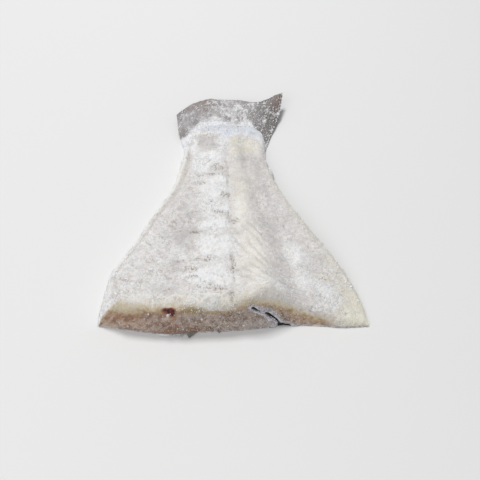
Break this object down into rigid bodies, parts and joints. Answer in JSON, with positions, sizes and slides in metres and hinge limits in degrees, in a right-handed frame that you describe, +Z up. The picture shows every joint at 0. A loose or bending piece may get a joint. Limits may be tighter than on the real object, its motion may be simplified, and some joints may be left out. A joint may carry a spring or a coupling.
{
  "type": "salted dried cod tail",
  "caption": "Tail end of a split salted dried cod, lying flat on its skin with a sawn end, a crease in the skin and the tail fin.",
  "frame": {"origin": "on the surface that the fish lies on, under the middle of its box", "axes": "+Y along the fish from the sawn end to the tail fin, +X across it to the right with the sawn end in front, +Z up"},
  "size_m": [0.2364, 0.3292, 0.0386],
  "materials": {
    "cod": "matt salt-crusted dried flesh"
  },
  "bodies": {
    "root": {"salted_cod_tail": "cod"}
  },
  "joints": []
}
